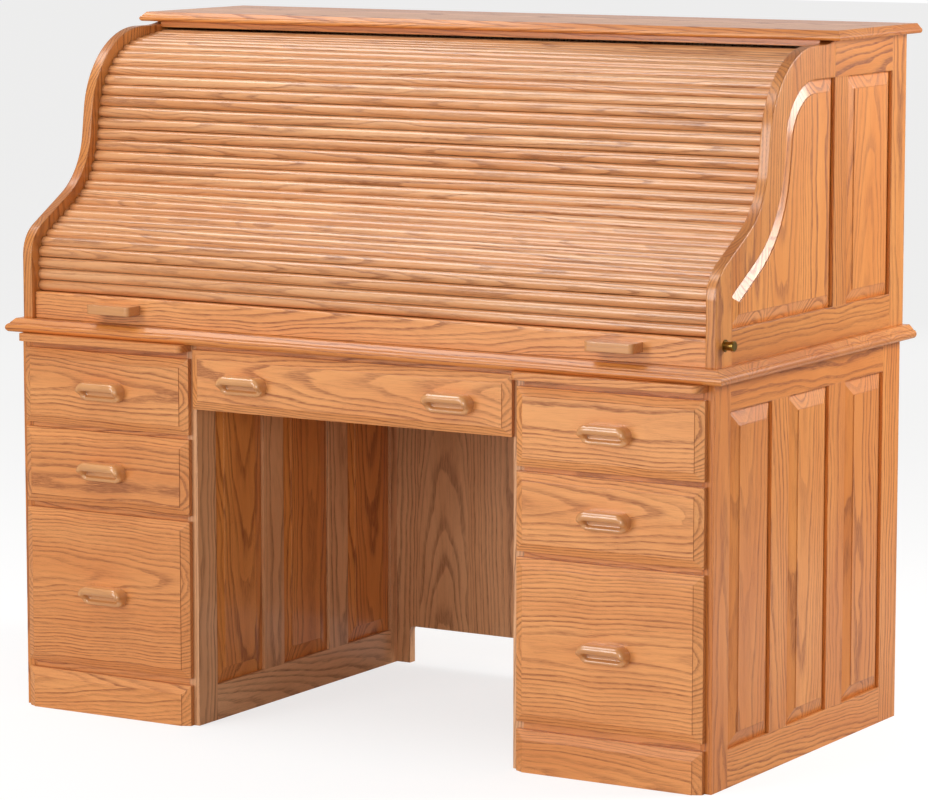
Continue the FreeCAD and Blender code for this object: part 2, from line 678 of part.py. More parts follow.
# ---------------------------------------------------------------- tambour
TAMBOUR_LENGTH = BAR_H + SLAT_PITCH * SLATS_PER_GROUP * GROUPS
TAMBOUR_PATH = s_path(TAMBOUR_INSET, DESK_TOP_Z + BAR_FOOT_GAP, HUTCH_D, rise=TAMBOUR_RISE)


def slat(number):
    """One half-round slat, counted from the lift bar, lying on the back line of the tambour."""
    start = BAR_H + number * SLAT_PITCH
    low = path_point(TAMBOUR_PATH, start)
    high = path_point(TAMBOUR_PATH, start + SLAT_PITCH)
    heading = math.atan2(high[1] - low[1], high[0] - low[0])
    middle = ((low[0] + high[0]) / 2, (low[1] + high[1]) / 2)
    half = (SLAT_PITCH - SLAT_GAP) / 2

    def place(along, out):
        y, z = step_from(middle, out, heading)
        return Vector(-SLAT_X, y + along * math.cos(heading), z + along * math.sin(heading))

    crown = Part.Arc(place(half, SLAT_BASE_T), place(0, SLAT_T), place(-half, SLAT_BASE_T)).toShape()
    section = Part.Wire(
        [
            line(place(-half, 0), place(half, 0)),
            line(place(half, 0), place(half, SLAT_BASE_T)),
            crown,
            line(place(-half, SLAT_BASE_T), place(-half, 0)),
        ]
    )
    return Part.Face(section).extrude(Vector(2 * SLAT_X, 0, 0))


def make_tambour():
    for group in range(GROUPS):
        first = group * SLATS_PER_GROUP
        save("tambour_slats_%02d" % (group + 1), [slat(first + i) for i in range(SLATS_PER_GROUP)])
    foot = DESK_TOP_Z + BAR_FOOT_GAP
    board_y = BAR_Y - BAR_STRIP_T
    bar = slab((-SLAT_X, SLAT_X), (BAR_Y - BAR_T, board_y), (foot, foot + BAR_H - SLAT_GAP / 2))
    top_z = foot + BAR_H - SLAT_GAP / 2
    face_y = BAR_Y - BAR_T
    front_top = [
        e for e in bar.Edges if abs(e.CenterOfMass.z - top_z) < TOUCH and abs(e.CenterOfMass.y - face_y) < TOUCH
    ]
    bar = bar.makeFillet(BAR_TOP_R, front_top)
    # the lock's nose shoots in behind the board and over this strip
    strip = slab((-SLAT_X, SLAT_X), (board_y, BAR_Y), (foot, LOCK_Z - LOCK_NOSE_R - LOCK_REST))
    save("lift_bar", [bar, strip])
    z = foot + HANDLE_UP
    save("lift_handles", [handle_block(x, face_y, (z - HANDLE_H / 2, z + HANDLE_H / 2)) for x in HANDLE_X])


def handle_block(x, face_y, z):
    """Lifting block on the bar, with round front corners."""
    front_y = face_y - HANDLE_D
    block = slab((x - HANDLE_L / 2, x + HANDLE_L / 2), (front_y, face_y), z)
    corners = [
        e for e in block.Edges if abs(e.CenterOfMass.y - front_y) < TOUCH and abs(e.CenterOfMass.z - sum(z) / 2) < TOUCH
    ]
    return block.makeFillet(HANDLE_R, corners)


def make_lock():
    flange_x = BASE_X + LOCK_FLANGE_T
    collar = rod(HUTCH_IN_X, flange_x, LOCK_Y, LOCK_Z, LOCK_SLEEVE_R)
    collar = collar.fuse(rod(BASE_X, flange_x, LOCK_Y, LOCK_Z, LOCK_FLANGE_R))
    bore = rod(HUTCH_IN_X - HUTCH_T, flange_x + HUTCH_T, LOCK_Y, LOCK_Z, LOCK_ROD_R + LOCK_GAP)
    save("lock_collar", [collar.cut(bore).removeSplitter()])
    head_x = flange_x + LOCK_TRAVEL
    nose_x = HUTCH_IN_X + LOCK_SETBACK
    nose = rod(nose_x, nose_x + LOCK_TRAVEL, LOCK_Y, LOCK_Z, LOCK_NOSE_R)
    shank = rod(nose_x + LOCK_TRAVEL, head_x, LOCK_Y, LOCK_Z, LOCK_ROD_R)
    head = rod(head_x, head_x + LOCK_HEAD_T, LOCK_Y, LOCK_Z, LOCK_HEAD_R)
    rim = [e for e in head.Edges if abs(e.CenterOfMass.x - head_x - LOCK_HEAD_T) < TOUCH]
    head = head.makeChamfer(LOCK_HEAD_EDGE, rim)
    save("lock_plunger", [nose.fuse([shank, head])])


# ---------------------------------------------------------------- organizer inside the hutch
ORG_X = HUTCH_IN_X - SLIDE_GAP
ORG_BAY_PITCH = (2 * ORG_X - ORG_T) / ORG_BAYS
ORG_IN_Z = (DESK_TOP_Z + ORG_T, ORG_TOP_Z - ORG_T)
ORG_DRAWER_TOP = ORG_IN_Z[0] + ORG_DRAWER_H
ORG_SHELF_Z = ORG_IN_Z[0] + ORG_SHELF_UP


def org_upright_x(index):
    """Left and right faces of an upright; upright 0 is the left end and ORG_BAYS the right end."""
    start = -ORG_X + index * ORG_BAY_PITCH
    return (start, start + ORG_T)


def org_bay_x(index):
    return (org_upright_x(index)[1], org_upright_x(index + 1)[0])


def make_organizer():
    y = (ORG_FRONT_Y, ORG_REAR_Y - ORG_BACK_T)
    boards = [slab((-ORG_X, ORG_X), y, (DESK_TOP_Z, ORG_IN_Z[0])), slab((-ORG_X, ORG_X), y, (ORG_IN_Z[1], ORG_TOP_Z))]
    boards += [slab(org_upright_x(i), y, ORG_IN_Z) for i in range(ORG_BAYS + 1)]
    boards.append(slab((-ORG_X, ORG_X), (y[1], ORG_REAR_Y), (DESK_TOP_Z, ORG_TOP_Z + ORG_BACK_UP)))
    save("organizer_case", boards)
    thin = []
    for bay in (0, ORG_BAYS - 1):
        x = org_bay_x(bay)
        shelf_z = (ORG_DRAWER_TOP, ORG_DRAWER_TOP + ORG_THIN_T)
        thin.append(slab(x, y, shelf_z))
        middle = sum(x) / 2
        thin.append(slab((middle - ORG_THIN_T / 2, middle + ORG_THIN_T / 2), y, (shelf_z[1], ORG_IN_Z[1])))
    for bay in (1, ORG_BAYS - 2):
        thin.append(slab(org_bay_x(bay), y, (ORG_SHELF_Z, ORG_SHELF_Z + ORG_THIN_T)))
    save("organizer_dividers", thin)
    for side, bay in (("left", 0), ("right", ORG_BAYS - 1)):
        save("organizer_drawer_" + side, organizer_drawer(org_bay_x(bay)))


def organizer_drawer(bay_x):
    """Small drawer with its own turned knob."""
    gap = ORG_DRAWER_GAP
    x = (bay_x[0] + gap, bay_x[1] - gap)
    z = (ORG_IN_Z[0] + SLIDE_GAP, ORG_DRAWER_TOP - gap)
    y = (ORG_FRONT_Y + gap, ORG_REAR_Y - ORG_BACK_T - gap)
    inside = (x[0] + ORG_DRAWER_T, x[1] - ORG_DRAWER_T)
    box_z = (z[0], z[1] - ORG_DRAWER_T)
    wall_y = (y[0] + ORG_DRAWER_T, y[1])
    middle = (sum(x) / 2, sum(z) / 2)
    forward = Vector(0, -1, 0)
    stem = Part.makeCylinder(ORG_KNOB_R / 2, ORG_KNOB_D, Vector(middle[0], y[0], middle[1]), forward)
    head_y = y[0] - ORG_KNOB_D + ORG_KNOB_HEAD
    head = Part.makeCylinder(ORG_KNOB_R, ORG_KNOB_HEAD, Vector(middle[0], head_y, middle[1]), forward)
    head = head.makeChamfer(ORG_KNOB_EDGE, head.Edges)
    knob = stem.fuse(head).removeSplitter()
    return [
        slab(x, (y[0], wall_y[0]), z),
        slab((x[0], inside[0]), wall_y, box_z),
        slab((inside[1], x[1]), wall_y, box_z),
        slab(inside, (y[1] - ORG_DRAWER_T, y[1]), box_z),
        slab(inside, (wall_y[0], y[1] - ORG_DRAWER_T), (z[0], z[0] + ORG_THIN_T)),
        knob,
    ]


# ---------------------------------------------------------------- build
def build_all():
    os.makedirs("parts", exist_ok=True)
    make_desktop()
    make_pedestal_sides()
    make_back_panel()
    make_plinth_and_bottoms()
    make_face_rails()
    make_drawers()
    make_runners()
    make_writing_boards()
    make_hutch_sides()
    make_hutch_top()
    make_tambour()
    make_lock()
    make_organizer()


build_all()
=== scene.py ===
# %% [markdown]
# # A roll-top desk in golden oak
#
# The real desk is solid and edge-glued oak under a clear satin lacquer: two pedestals of drawers, a
# kneehole, and a hutch with S-shaped sides whose front is closed by a tambour, a curtain of half-round
# slats glued to canvas. Every board arrives in the frame as its own solid, at its real size. This script
# adds what a solid can't carry: the figure of the oak, the lacquer, the rounded shape of the pulls, the
# canvas, and the light of a studio.

import json
import math
import random

import bpy
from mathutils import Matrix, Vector


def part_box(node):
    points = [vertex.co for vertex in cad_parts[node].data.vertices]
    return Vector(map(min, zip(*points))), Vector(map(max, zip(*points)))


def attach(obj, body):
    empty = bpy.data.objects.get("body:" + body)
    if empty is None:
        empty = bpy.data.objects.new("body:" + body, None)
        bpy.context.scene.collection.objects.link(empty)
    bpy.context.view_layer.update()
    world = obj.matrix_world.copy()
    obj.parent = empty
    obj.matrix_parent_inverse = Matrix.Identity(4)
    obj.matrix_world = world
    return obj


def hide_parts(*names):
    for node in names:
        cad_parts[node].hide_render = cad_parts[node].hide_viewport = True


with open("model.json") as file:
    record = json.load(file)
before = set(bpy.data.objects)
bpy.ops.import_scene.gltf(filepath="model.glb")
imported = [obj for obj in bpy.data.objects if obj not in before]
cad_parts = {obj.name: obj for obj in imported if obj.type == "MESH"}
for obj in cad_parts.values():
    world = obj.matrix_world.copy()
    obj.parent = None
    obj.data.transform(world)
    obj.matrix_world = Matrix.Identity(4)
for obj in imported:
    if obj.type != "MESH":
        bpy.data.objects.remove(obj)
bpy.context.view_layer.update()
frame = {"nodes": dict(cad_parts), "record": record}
nodes = frame["nodes"]

# %% [markdown]
# ## Colours and nodes
#
# Colours are written as the hex values a painter or a web page would use. Those are sRGB, which bends the
# scale to suit the eye, so one function straightens them into the linear values that light adds up in. A
# second small function adds a shader node, sets it and links it, which keeps each material readable as a
# recipe.


# %% Colours and nodes
def linear(hex_colour):
    """An sRGB hex colour as linear RGBA."""
    parts = [int(hex_colour[i : i + 2], 16) / 255 for i in (1, 3, 5)]
    return [p / 12.92 if p <= 0.04045 else ((p + 0.055) / 1.055) ** 2.4 for p in parts] + [1.0]


def add(tree, kind, settings=None, **links):
    """Adds a node. settings are its properties, and links its inputs, named or as _number, to link or set."""
    node = tree.nodes.new("ShaderNode" + kind)
    for name, value in (settings or {}).items():
        setattr(node, name, value)
    for name, value in links.items():
        socket = node.inputs[int(name[1:])] if name[0] == "_" else node.inputs[name.replace("_", " ")]
        if isinstance(value, bpy.types.NodeSocket):
            tree.links.new(value, socket)
        else:
            socket.default_value = value
    return node


def new_material(name):
    material = bpy.data.materials.new(name)
    material.use_nodes = True
    material.node_tree.nodes.clear()
    return material, material.node_tree


def seen_directly(tree):
    """1 for rays from the camera, also through glass, and 0 for those that carry light between surfaces."""
    path = add(tree, "LightPath").outputs
    rays = {"_0": path["Is Camera Ray"], "_1": path["Is Transmission Ray"]}
    return add(tree, "Math", {"operation": "MAXIMUM"}, **rays).outputs[0]


# %% [markdown]
# ## Each board knows its grain
#
# Wood has a direction. A stile stands with its grain upright, a rail lies with it level, and every board is
# cut from a different place in the tree. So before any material is made, each solid of each node is found
# and given three attributes. grain is a place in millimetres: along the grain, across the face and through
# the thickness, measured from the board's middle. board holds a number that is different for each board,
# how far aside of its middle the heart of the tree may lie, and the width of the staves it was glued up
# from. axis points along the grain.
#
# A board has its grain along its longest side. The two backs are wider than they are high and still have it
# upright, as such backs do. Boards up to 300 mm wide are one piece, and wider ones are glued up from
# staves.

# %% Each board knows its grain
MM = 1000.0  # in a metre
STAVE = 115.0  # mm, width of the staves in a glued-up board
ONE_PIECE = 300.0  # mm, the widest board that isn't glued up
UNDIVIDED = 1e5  # mm, a stave width beyond any board
NARROW = 90.0  # mm, boards narrower than this are cut from anywhere in the trunk
WANDER, WANDER_SHARE = 75.0, 0.22  # how far aside the heart may lie: in mm, or as a share of the width
UPRIGHT = ("back_panel", "hutch_back")
board_dice = random.Random(11)


def solids_of(mesh):
    """Groups of polygons that belong to one solid, found across edges that exactly two polygons share."""
    key = [tuple(round(c * 1e5) for c in v.co) for v in mesh.vertices]
    edges = {}
    for polygon in mesh.polygons:
        ring = [key[i] for i in polygon.vertices]
        for a, b in zip(ring, ring[1:] + ring[:1]):
            edges.setdefault((min(a, b), max(a, b)), []).append(polygon.index)
    parent = list(range(len(mesh.polygons)))

    def root(i):
        while parent[i] != i:
            parent[i] = parent[parent[i]]
            i = parent[i]
        return i

    for pair in edges.values():
        if len(pair) == 2:
            parent[root(pair[0])] = root(pair[1])
    groups = {}
    for i in range(len(mesh.polygons)):
        groups.setdefault(root(i), []).append(i)
    return list(groups.values())


def write_attribute(mesh, name, values):
    layer = mesh.attributes.new(name, "FLOAT_VECTOR", "POINT")
    layer.data.foreach_set("vector", [c for value in values for c in value])


def board_of(width):
    """A new board of this width in mm: its own number, how far aside the heart lies, and its stave width."""
    spread = WANDER_SHARE * width if NARROW < width <= ONE_PIECE else WANDER
    return (board_dice.uniform(0, 900), spread, STAVE if width > ONE_PIECE else UNDIVIDED)


def lay_grain(obj, along=None):
    """Gives each solid of obj its grain. along is 0, 1 or 2 for grain along X, Y or Z."""
    mesh = obj.data
    grain = [(0.0, 0.0, 0.0)] * len(mesh.vertices)
    board = [(0.0, WANDER, UNDIVIDED)] * len(mesh.vertices)
    axis = [(1.0, 0.0, 0.0)] * len(mesh.vertices)
    for polygons in solids_of(mesh):
        indices = sorted({i for p in polygons for i in mesh.polygons[p].vertices})
        places = [mesh.vertices[i].co for i in indices]
        low = [min(p[k] for p in places) for k in range(3)]
        high = [max(p[k] for p in places) for k in range(3)]
        size = [h - l for l, h in zip(low, high)]
        order = sorted(range(3), key=lambda k: -size[k])
        if along is not None:
            order = [along] + [k for k in order if k != along]
        middle = [(l + h) / 2 for l, h in zip(low, high)]
        this_board = board_of(size[order[1]] * MM)
        this_axis = tuple(1.0 if k == order[0] else 0.0 for k in range(3))
        for i, place in zip(indices, places):
            grain[i] = tuple((place[k] - middle[k]) * MM for k in order)
            board[i], axis[i] = this_board, this_axis
    write_attribute(mesh, "grain", grain)
    write_attribute(mesh, "board", board)
    write_attribute(mesh, "axis", axis)


for name, node in nodes.items():
    lay_grain(node, 2 if name in UPRIGHT else None)
print("nodes with grain:", len(nodes))

# %% [markdown]
# ## Golden oak under satin lacquer
#
# Red oak is ring-porous: each year starts with a band of open pores, which take the stain and read as a
# dark line, and ends with dense pale wood. Rings are cylinders round the heart of the tree, so the figure
# on a board is a cut through nested cylinders. Cutting them here in three dimensions gives everything with
# one formula: wide quiet wood and cathedral arches where the heart lies behind the middle of a board,
# straight lines toward its edges, and arcs on end grain. The heart runs some centimetres behind the face.
# It leans a little, which is what closes the arches, and wanders a little, which makes all the lines of a
# board sway together. Years differ in width and in darkness. A fine streaky noise draws the pores, and end
# grain is darker, since it drinks more stain.
#
# The lacquer is a thin clear coat over a half-matt base: soft reflections that brighten at a glance. Real
# boards have their sharp edges eased with sandpaper, and that small round is what catches the light. The
# Bevel node bends the normals near an edge to the same effect, with no extra faces.

# %% Golden oak
RING, RING_MORE = 5.4, 2.0  # mm, the width of a board's years: the least, and how much more at most
DEPTH, DEPTH_MORE = 50.0, 65.0  # mm, how far behind the face the heart runs, in the same way
TILT, LEAN = 0.035, 0.06  # mm per mm, how steeply the heart may cross a board and sink behind it
SWAY, LOOSE, UNEVEN = 26.0, 6.0, 7.0  # mm, of the heart, of single lines, and of the years' widths
END_GRAIN = 0.45  # how much darker end grain is
PORE_DEPTH = 0.00012  # m
EASED = 0.0014  # m, radius of a sanded edge
# the pores across one year, from last year's edge: place and darkness
YEAR = ((0.0, 0.9), (0.05, 1.0), (0.2, 0.9), (0.34, 0.35), (0.52, 0.06), (0.94, 0.0), (1.0, 0.9))


def make_oak(
    name, pale, warm, line, contrast=1.0, roughness=0.38, coat=0.3, coat_roughness=0.14, eased=EASED
):
    """Oak in two body colours and a colour for the pores."""
    material, tree = new_material(name)

    def maths(operation, a, b=0.0, c=0.0, clamp=False):
        return add(tree, "Math", {"operation": operation, "use_clamp": clamp}, _0=a, _1=b, _2=c).outputs[0]

    def triple(x, y, z):
        return add(tree, "CombineXYZ", X=x, Y=y, Z=z).outputs[0]

    def split(vector):
        return add(tree, "SeparateXYZ", Vector=vector).outputs

    def noise(x, y, z, detail=2.0):
        """Smooth noise from about -0.3 to 0.3."""
        fac = add(tree, "TexNoise", Vector=triple(x, y, z), Scale=1.0, Detail=detail).outputs["Fac"]
        return maths("SUBTRACT", fac, 0.5)

    def dice(x, y, z):
        return split(add(tree, "TexWhiteNoise", Vector=triple(x, y, z)).outputs["Color"])

    def either_way(roll, reach):
        return maths("MULTIPLY", maths("MULTIPLY_ADD", roll, 2.0, -1.0), reach)

    def mix(fac, first, second):
        return add(tree, "Mix", {"data_type": "RGBA"}, _0=fac, _6=first, _7=second).outputs[2]

    g = split(add(tree, "Attribute", {"attribute_name": "grain"}).outputs["Vector"])
    seed, spread, stave_width = split(add(tree, "Attribute", {"attribute_name": "board"}).outputs["Vector"])
    stave = maths("ROUND", maths("DIVIDE", g[1], stave_width))
    across = maths("SUBTRACT", g[1], maths("MULTIPLY", stave, stave_width))
    side_roll, depth_roll, tone_roll = dice(seed, stave, 0.5)
    lean_roll, tilt_roll, ring_roll = dice(stave, seed, 5.5)
    shifted = maths("MULTIPLY_ADD", stave, 37.0, seed)

    def grained(along, around, detail):
        """Noise in the board's own wood, with this many waves per mm along the grain and around it."""
        run = maths("MULTIPLY_ADD", g[0], along, seed)
        return noise(run, maths("MULTIPLY", g[1], around), maths("MULTIPLY", g[2], around), detail)

    # where the heart of the tree runs behind this stave
    sway = noise(maths("MULTIPLY_ADD", g[0], 0.006, seed), shifted, 0.0, 1.0)
    v = maths("ADD", across, either_way(side_roll, spread))
    v = maths("MULTIPLY_ADD", g[0], either_way(tilt_roll, TILT), v)
    v = maths("MULTIPLY_ADD", sway, SWAY, v)
    w = maths("ADD", g[2], maths("MULTIPLY_ADD", depth_roll, DEPTH_MORE, DEPTH))
    w = maths("MULTIPLY_ADD", g[0], either_way(lean_roll, LEAN), w)
    radius = maths("SQRT", maths("ADD", maths("MULTIPLY", v, v), maths("MULTIPLY", w, w)))

    # years of different width, and lines that don't quite run side by side
    uneven = noise(maths("MULTIPLY", radius, 0.09), shifted, 3.0, 0.0)
    bent = maths("MULTIPLY_ADD", uneven, UNEVEN, radius)
    bent = maths("MULTIPLY_ADD", grained(0.009, 0.035, 1.0), LOOSE, bent)
    bent = maths("ADD", grained(0.035, 0.2, 2.0), bent)
    phase = maths("DIVIDE", bent, maths("MULTIPLY_ADD", ring_roll, RING_MORE, RING))
    year = maths("FLOOR", phase)
    # spring pores: sharp on the old-year side, fading into the summer wood
    band = add(tree, "ValToRGB", Fac=maths("FRACT", phase))
    while len(band.color_ramp.elements) < len(YEAR):
        band.color_ramp.elements.new(0.5)
    for element, (place, grey) in zip(band.color_ramp.elements, YEAR):
        element.position, element.color = place, (grey, grey, grey, 1)
    strength = maths("MULTIPLY_ADD", dice(year, seed, stave)[0], 0.65, 0.45)
    spring = maths("MULTIPLY", band.outputs["Color"], strength)

    # pores as short streaks, and a coarser set that still shows from across a room
    fine = grained(0.05, 1.6, 1.0)
    coarse = grained(0.018, 0.45, 2.0)
    pores = maths("MULTIPLY_ADD", fine, 2.4, 0.8)
    dark = maths("MULTIPLY", spring, pores)
    dark = maths("MULTIPLY_ADD", coarse, 0.5, dark)
    dark = maths("MULTIPLY_ADD", fine, 0.3, dark)
    dark = maths("MULTIPLY", dark, contrast, clamp=True)

    # body colour drifts along a board and differs from stave to stave
    drift = noise(maths("MULTIPLY_ADD", g[0], 0.003, seed), maths("MULTIPLY", g[1], 0.02), shifted)
    warmth = maths("MULTIPLY_ADD", drift, 1.4, maths("MULTIPLY_ADD", tone_roll, 0.6, 0.2), clamp=True)
    facing = add(tree, "NewGeometry").outputs["Normal"]
    local = {"vector_type": "NORMAL", "convert_from": "WORLD", "convert_to": "OBJECT"}
    facing = add(tree, "VectorTransform", local, Vector=facing).outputs[0]
    axis = add(tree, "Attribute", {"attribute_name": "axis"}).outputs["Vector"]
    end = add(tree, "VectorMath", {"operation": "DOT_PRODUCT"}, _0=facing, _1=axis).outputs["Value"]
    end = maths("MULTIPLY", maths("POWER", maths("ABSOLUTE", end), 4.0), END_GRAIN)
    colour = mix(dark, mix(warmth, linear(pale), linear(warm)), linear(line))
    colour = mix(end, colour, linear(line))

    shine = maths("MULTIPLY_ADD", dark, 0.12, roughness - 0.02)
    rounded = add(tree, "Bevel", {"samples": 6}, Radius=eased).outputs[0]
    pitted = {"Strength": 0.25, "Distance": PORE_DEPTH, "Height": dark, "Normal": rounded}
    bump = add(tree, "Bump", {"invert": True}, **pitted).outputs[0]
    bsdf = add(
        tree,
        "BsdfPrincipled",
        Base_Color=colour,
        Roughness=shine,
        IOR=1.5,
        Coat_Weight=coat,
        Coat_Roughness=coat_roughness,
        Coat_IOR=1.5,
        Normal=bump,
        Coat_Normal=rounded,
    )
    add(tree, "OutputMaterial", Surface=bsdf.outputs[0])
    return material


# the slats and the pulls, which hands polish, and the rounded front edge of the hutch sides are glossier
SLAT = {"contrast": 0.9, "roughness": 0.3, "coat": 0.6, "coat_roughness": 0.1}
PULL = {"contrast": 0.5, "roughness": 0.26, "coat": 1.0, "coat_roughness": 0.12, "eased": 0.003}
S_EDGE = {"roughness": 0.34, "coat": 0.35, "eased": 0.004}
MAPLE = {"contrast": 0.45, "roughness": 0.45, "coat": 0.15}
oak_case = make_oak("golden_oak_case", "#E6974C", "#CF7A34", "#934D1C")
oak_fronts = make_oak("golden_oak_fronts", "#EFA562", "#DC8A48", "#96501F")
oak_slats = make_oak("golden_oak_slats", "#EAB07C", "#D68F55", "#92542A", **SLAT)
oak_pulls = make_oak("golden_oak_pulls", "#E2A468", "#D29158", "#B0703A", **PULL)
oak_s_edge = make_oak("golden_oak_s_edge", "#E0964F", "#C87631", "#824010", **S_EDGE)
drawer_maple = make_oak("drawer_maple", "#E3C193", "#D6AE7C", "#C39A68", **MAPLE)
oak_inside = make_oak("golden_oak_inside", "#EBB484", "#D79A69", "#94603C")
print("oak materials made")

# %% [markdown]
# ## Aged brass
#
# The push lock is brass that has been handled for years: a metal, so its colour is in its reflection, with
# a soft brown tarnish in patches and a rougher surface where the tarnish is thick.


# %% Aged brass
def make_brass():
    material, tree = new_material("aged_brass")
    place = add(tree, "TexCoord").outputs["Object"]
    patches = add(tree, "TexNoise", Vector=place, Scale=220.0, Detail=3.0).outputs["Fac"]
    ends = {"_6": linear("#A98A46"), "_7": linear("#5E4A22")}
    colour = add(tree, "Mix", {"data_type": "RGBA"}, _0=patches, **ends).outputs[2]
    rough = add(tree, "Math", {"operation": "MULTIPLY_ADD"}, _0=patches, _1=0.25, _2=0.2).outputs[0]
    bsdf = add(tree, "BsdfPrincipled", Base_Color=colour, Metallic=1.0, Roughness=rough)
    add(tree, "OutputMaterial", Surface=bsdf.outputs[0])
    return material


brass = make_brass()

# %% [markdown]
# ## A finish for every board
#
# The frame's record says which slot each node's material fills. Two groups of nodes depart a little from
# their slot: the hutch sides, which have a rounded front edge, and the kneehole's sides with the two backs.
# From the front those are lit mostly by light that has bounced off other oak, which turns it orange, so
# they are made of a paler, pinker oak to make up for it.

# %% Finish every board
FINISH = {"oak_case": oak_case, "oak_fronts": oak_fronts, "oak_slats": oak_slats, "oak_pulls": oak_pulls}
FINISH.update({"drawer_wood": drawer_maple, "brass": brass})
OWN_FINISH = dict.fromkeys(("hutch_side_right", "hutch_side_left"), oak_s_edge)
LIT_BY_BOUNCES = ("kneehole_side_right", "kneehole_side_left", "back_panel", "hutch_back")
OWN_FINISH.update(dict.fromkeys(LIT_BY_BOUNCES, oak_inside))
for part in frame["record"]["subparts"]:
    node = nodes[part["node"]]
    node.data.materials.clear()
    node.data.materials.append(OWN_FINISH.get(part["node"], FINISH[part["material_slot"]]))
    for polygon in node.data.polygons:
        polygon.material_index = 0

# %% [markdown]
# ## Wooden pulls
#
# Each pull is one block of oak shaped on a router: a round bar on top, a slot that fingers reach into from
# below the bar, and a thin lip that runs round the slot like the rim of a dish. Subdividing a box would
# need careful edge loops round the slot. A height field is simpler: every point of a grid over the pull's
# rounded outline is lifted by a formula that says how far the wood stands out there, with quarter rounds
# measured from the nearest edge. A ring of points at the foot closes it against the drawer front.

# %% Wooden pulls
# all in mm; heights up and down are measured from the pull's middle
PULL_LONG, PULL_TALL, PULL_OUT = 98.0, 36.0, 29.0
LIP_OUT, SLOT_FLOOR = 14.0, 7.0
SLOT_HALF, SLOT_TOP, SLOT_FOOT = 35.0, 1.0, -9.0
SLOT_CORNER, SLOT_TOP_CORNER = 4.5, 1.0
LIP_BEGINS, LIP_REACH = 3.0, 13.0  # where the bar starts to fall to the lip, and over what height
BAR_ROUND, LIP_ROUND = 8.5, 4.4
SLOT_WALL = 1.6  # how far the slot's wall leans
GRID_LONG, GRID_TALL = 98, 44  # cells of the height field
WELD = 0.00002  # m


def ease(x):
    """A smooth step from 0 at 0 to 1 at 1."""
    x = min(1.0, max(0.0, x))
    return x * x * (3 - 2 * x)


def pull_height(u, v):
    """How far the pull stands out, in mm, at u along it and v up from its middle."""
    end = PULL_TALL / 2
    from_rim = end - math.hypot(max(0.0, abs(u) - (PULL_LONG / 2 - end)), v)
    # distance outside the slot, a rectangle with rounded lower corners
    corner = SLOT_CORNER if v < (SLOT_TOP + SLOT_FOOT) / 2 else SLOT_TOP_CORNER
    over_u = abs(u) - SLOT_HALF + corner
    over_v = max(v - SLOT_TOP, SLOT_FOOT - v) + corner
    from_slot = math.hypot(max(0.0, over_u), max(0.0, over_v)) + min(0.0, max(over_u, over_v)) - corner
    lip = ease((LIP_BEGINS - v) / LIP_REACH)
    out = PULL_OUT + (LIP_OUT - PULL_OUT) * lip
    round_off = BAR_ROUND + (LIP_ROUND - BAR_ROUND) * lip
    near = min(from_rim, max(0.0, from_slot), round_off)
    height = out - round_off + math.sqrt(max(0.0, round_off**2 - (round_off - near) ** 2))
    hollow = ease(0.5 - from_slot / SLOT_WALL)
    return height + (SLOT_FLOOR - height) * hollow


def build_pull(name, x, y, z):
    """A pull whose back lies at y against the drawer front, centred on x and z, all in metres."""
    across, up = GRID_LONG, GRID_TALL
    reach = PULL_TALL / 2
    columns = []
    for i in range(across + 1):
        u = -PULL_LONG / 2 + PULL_LONG * i / across
        beyond = abs(u) - (PULL_LONG / 2 - reach)
        half = math.sqrt(max(0.0, reach**2 - max(0.0, beyond) ** 2))
        columns.append([(u, half * (2 * j / up - 1)) for j in range(up + 1)])
    points, faces = [], []
    for column in columns:
        for u, v in column:
            points.append((u, v, pull_height(u, v)))
    size = up + 1
    for i in range(across):
        for j in range(up):
            a = i * size + j
            faces.append((a, a + 1, a + size + 1, a + size))
    # the rim, in order, and its twin at the foot
    rim = [i * size for i in range(across + 1)] + [across * size + j for j in range(1, size)]
    rim += [i * size + up for i in range(across - 1, -1, -1)] + [j for j in range(up - 1, 0, -1)]
    first = len(points)
    points += [(points[i][0], points[i][1], 0.0) for i in rim]
    count = len(rim)
    for k in range(count):
        faces.append((rim[k], rim[(k + 1) % count], first + (k + 1) % count, first + k))
    mesh = bpy.data.meshes.new(name)
    mesh.from_pydata([(x + u / MM, y - h / MM, z + v / MM) for u, v, h in points], [], faces)
    mesh.validate()
    mesh.update()
    obj = bpy.data.objects.new(name, mesh)
    bpy.context.scene.collection.objects.link(obj)
    weld = obj.modifiers.new("weld", "WELD")
    weld.merge_threshold = WELD
    write_attribute(mesh, "grain", points)
    write_attribute(mesh, "board", [board_of(PULL_TALL)] * len(points))
    write_attribute(mesh, "axis", [(1.0, 0.0, 0.0)] * len(points))
    mesh.materials.append(oak_pulls)
    for polygon in mesh.polygons:
        polygon.use_smooth = True
    return obj


pull_nodes = [name for name in nodes if name.startswith("drawer_pull")]
for name in pull_nodes:
    low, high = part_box(name)
    body = "centre_drawer" if "centre" in name else "_".join(name.split("_")[2:]) + "_drawer"
    half = PULL_LONG / 2 / MM
    places = [(low[0] + high[0]) / 2] if "centre" not in name else [low[0] + half, high[0] - half]
    for number, x in enumerate(places):
        pull = build_pull("shaped_" + name + "_%d" % (number + 1), x, high[1], (low[2] + high[2]) / 2)
        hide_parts(name)
        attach(pull, body)
print("shaped pulls for", pull_nodes)

# %% [markdown]
# ## Canvas behind the slats
#
# A tambour is held together by cloth: heavy cotton canvas glued across the backs of the slats, which is
# what lets the curtain bend. One strip is laid behind each node of slats and rides the body that they ride.
# Its shape comes from the slats themselves: the outline of a slat's end has one side much longer than the
# rest, and that is its flat back. The cloth is a plain weave of threads about 0.6 mm apart, drawn at 1.2 mm
# so that it shows.


